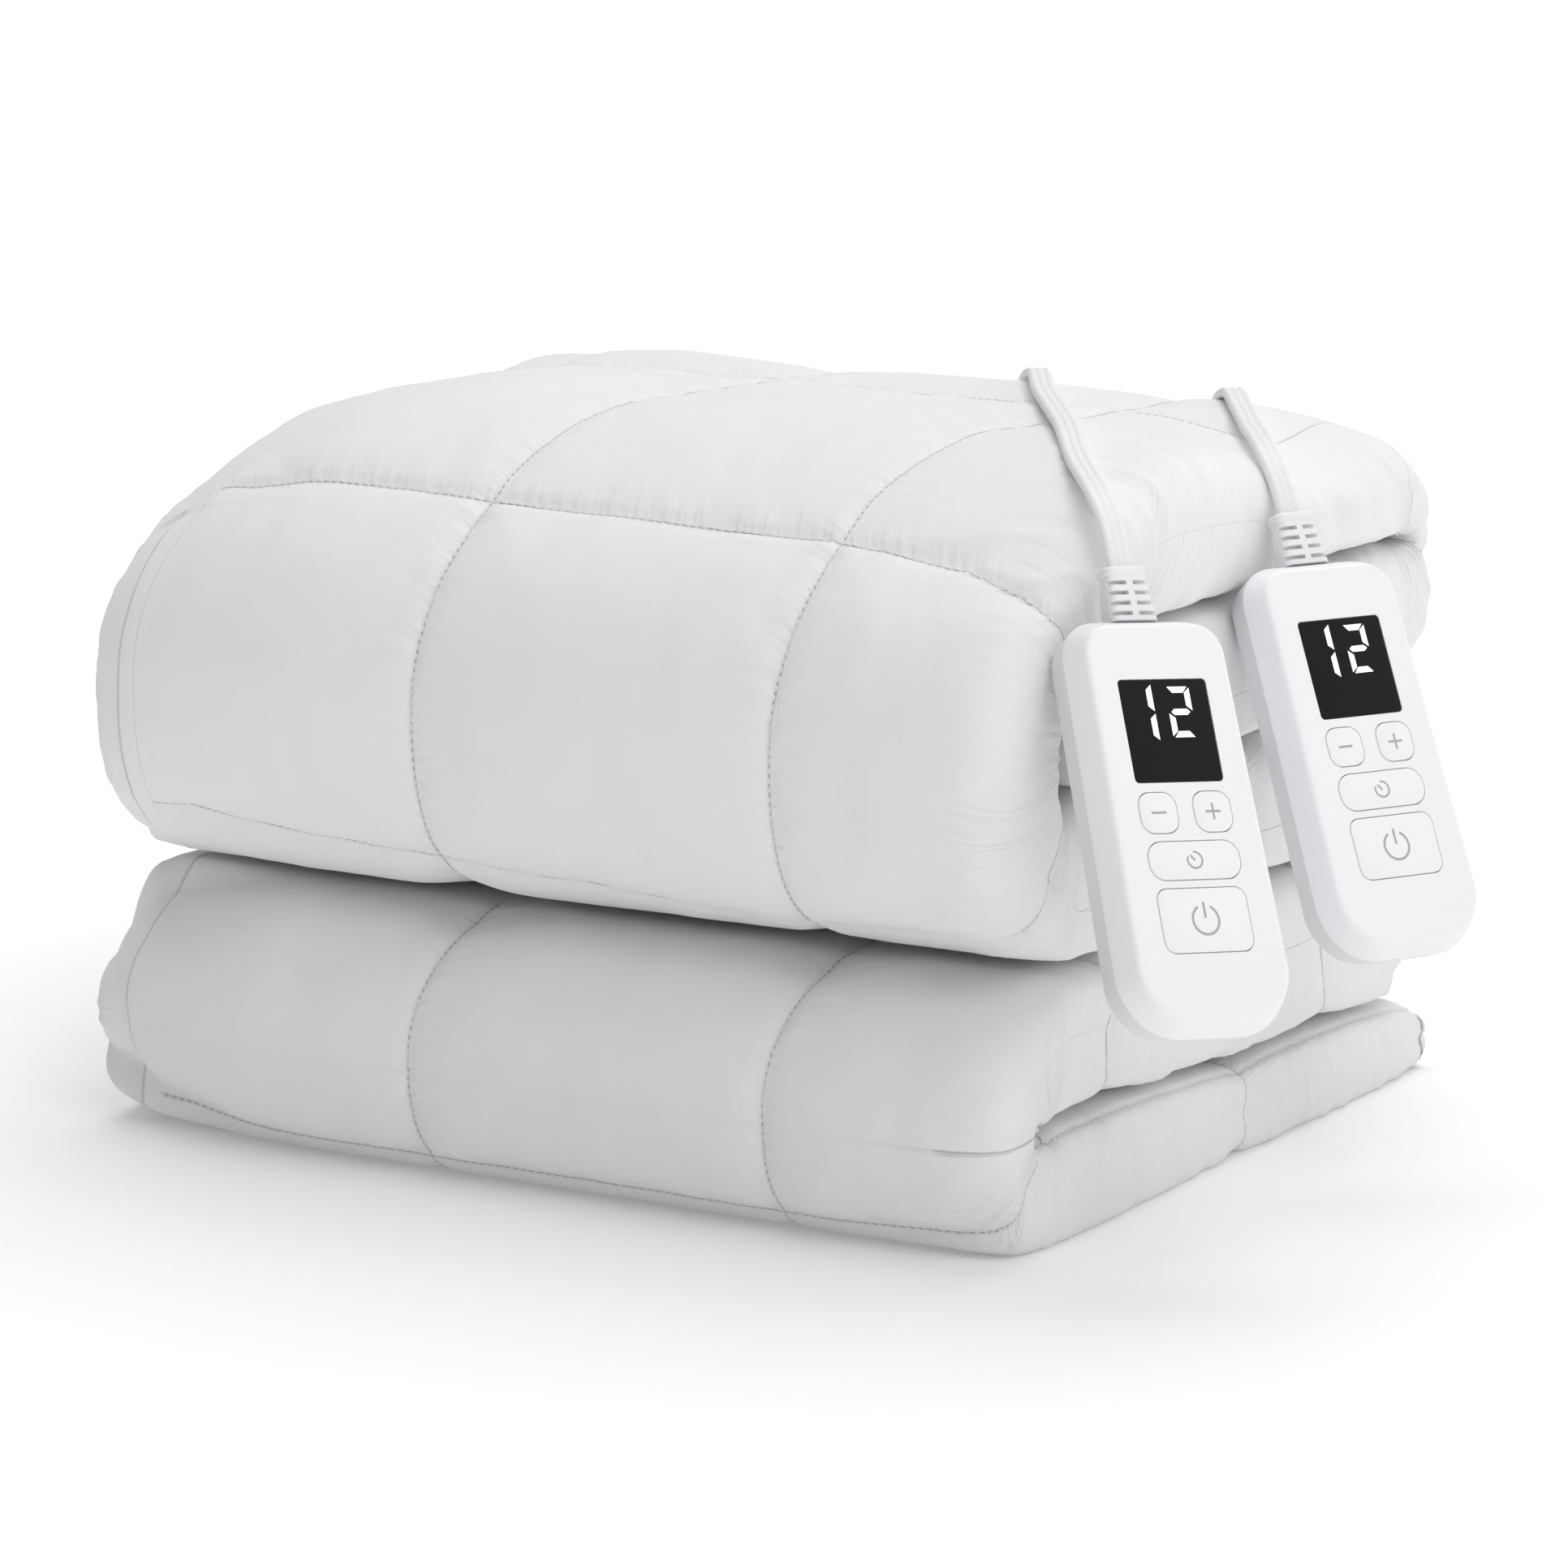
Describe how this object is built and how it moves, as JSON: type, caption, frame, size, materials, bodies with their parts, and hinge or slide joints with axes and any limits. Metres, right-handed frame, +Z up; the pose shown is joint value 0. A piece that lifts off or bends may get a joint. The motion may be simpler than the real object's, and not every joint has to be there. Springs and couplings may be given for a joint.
{
  "type": "folded heated mattress pad",
  "caption": "Quilted heated mattress pad folded into a stack, with wired hand controllers hanging over one side.",
  "frame": {"origin": "middle of the base of the pad and its controllers' box, on the surface that it lies on", "axes": "+X along the folds towards the side where the controllers hang, +Y from the rounded front folds to the back, +Z up"},
  "size_m": [0.4684, 0.4979, 0.2618],
  "materials": {
    "quilted_cloth": "matt white woven polyester-cotton",
    "controller_plastic": "satin white",
    "key_plastic": "satin white",
    "display_window": "dark glossy window",
    "strain_relief": "satin white moulding",
    "cord": "satin white vinyl",
    "connector": "satin white"
  },
  "bodies": {
    "pad_and_controllers": {"pad": "quilted_cloth", "front_housing": "controller_plastic", "front_display": "display_window", "front_strain_relief": "strain_relief", "front_cord": "cord", "front_coil": "cord", "front_connector": "connector", "rear_housing": "controller_plastic", "rear_display": "display_window", "rear_strain_relief": "strain_relief", "rear_cord": "cord", "rear_coil": "cord", "rear_connector": "connector"},
    "front_key_minus": {"front_key_minus": "key_plastic"},
    "front_key_plus": {"front_key_plus": "key_plastic"},
    "front_key_timer": {"front_key_timer": "key_plastic"},
    "front_key_power": {"front_key_power": "key_plastic"},
    "rear_key_minus": {"rear_key_minus": "key_plastic"},
    "rear_key_plus": {"rear_key_plus": "key_plastic"},
    "rear_key_timer": {"rear_key_timer": "key_plastic"},
    "rear_key_power": {"rear_key_power": "key_plastic"}
  },
  "joints": [
    {"name": "front_key_minus_press", "type": "slide", "parent": "pad_and_controllers", "child": "front_key_minus", "axis": [-0.7788, 0.4211, -0.4648], "range_m": [0, 0.0008], "stiffness_N_per_m": 800, "springref_m": -0.0005},
    {"name": "front_key_plus_press", "type": "slide", "parent": "pad_and_controllers", "child": "front_key_plus", "axis": [-0.7788, 0.4211, -0.4648], "range_m": [0, 0.0008], "stiffness_N_per_m": 800, "springref_m": -0.0005},
    {"name": "front_key_timer_press", "type": "slide", "parent": "pad_and_controllers", "child": "front_key_timer", "axis": [-0.7788, 0.4211, -0.4648], "range_m": [0, 0.0008], "stiffness_N_per_m": 800, "springref_m": -0.0005},
    {"name": "front_key_power_press", "type": "slide", "parent": "pad_and_controllers", "child": "front_key_power", "axis": [-0.7788, 0.4211, -0.4648], "range_m": [0, 0.0008], "stiffness_N_per_m": 800, "springref_m": -0.0005},
    {"name": "rear_key_minus_press", "type": "slide", "parent": "pad_and_controllers", "child": "rear_key_minus", "axis": [-0.7788, 0.4211, -0.4648], "range_m": [0, 0.0008], "stiffness_N_per_m": 800, "springref_m": -0.0005},
    {"name": "rear_key_plus_press", "type": "slide", "parent": "pad_and_controllers", "child": "rear_key_plus", "axis": [-0.7788, 0.4211, -0.4648], "range_m": [0, 0.0008], "stiffness_N_per_m": 800, "springref_m": -0.0005},
    {"name": "rear_key_timer_press", "type": "slide", "parent": "pad_and_controllers", "child": "rear_key_timer", "axis": [-0.7788, 0.4211, -0.4648], "range_m": [0, 0.0008], "stiffness_N_per_m": 800, "springref_m": -0.0005},
    {"name": "rear_key_power_press", "type": "slide", "parent": "pad_and_controllers", "child": "rear_key_power", "axis": [-0.7788, 0.4211, -0.4648], "range_m": [0, 0.0008], "stiffness_N_per_m": 800, "springref_m": -0.0005}
  ]
}
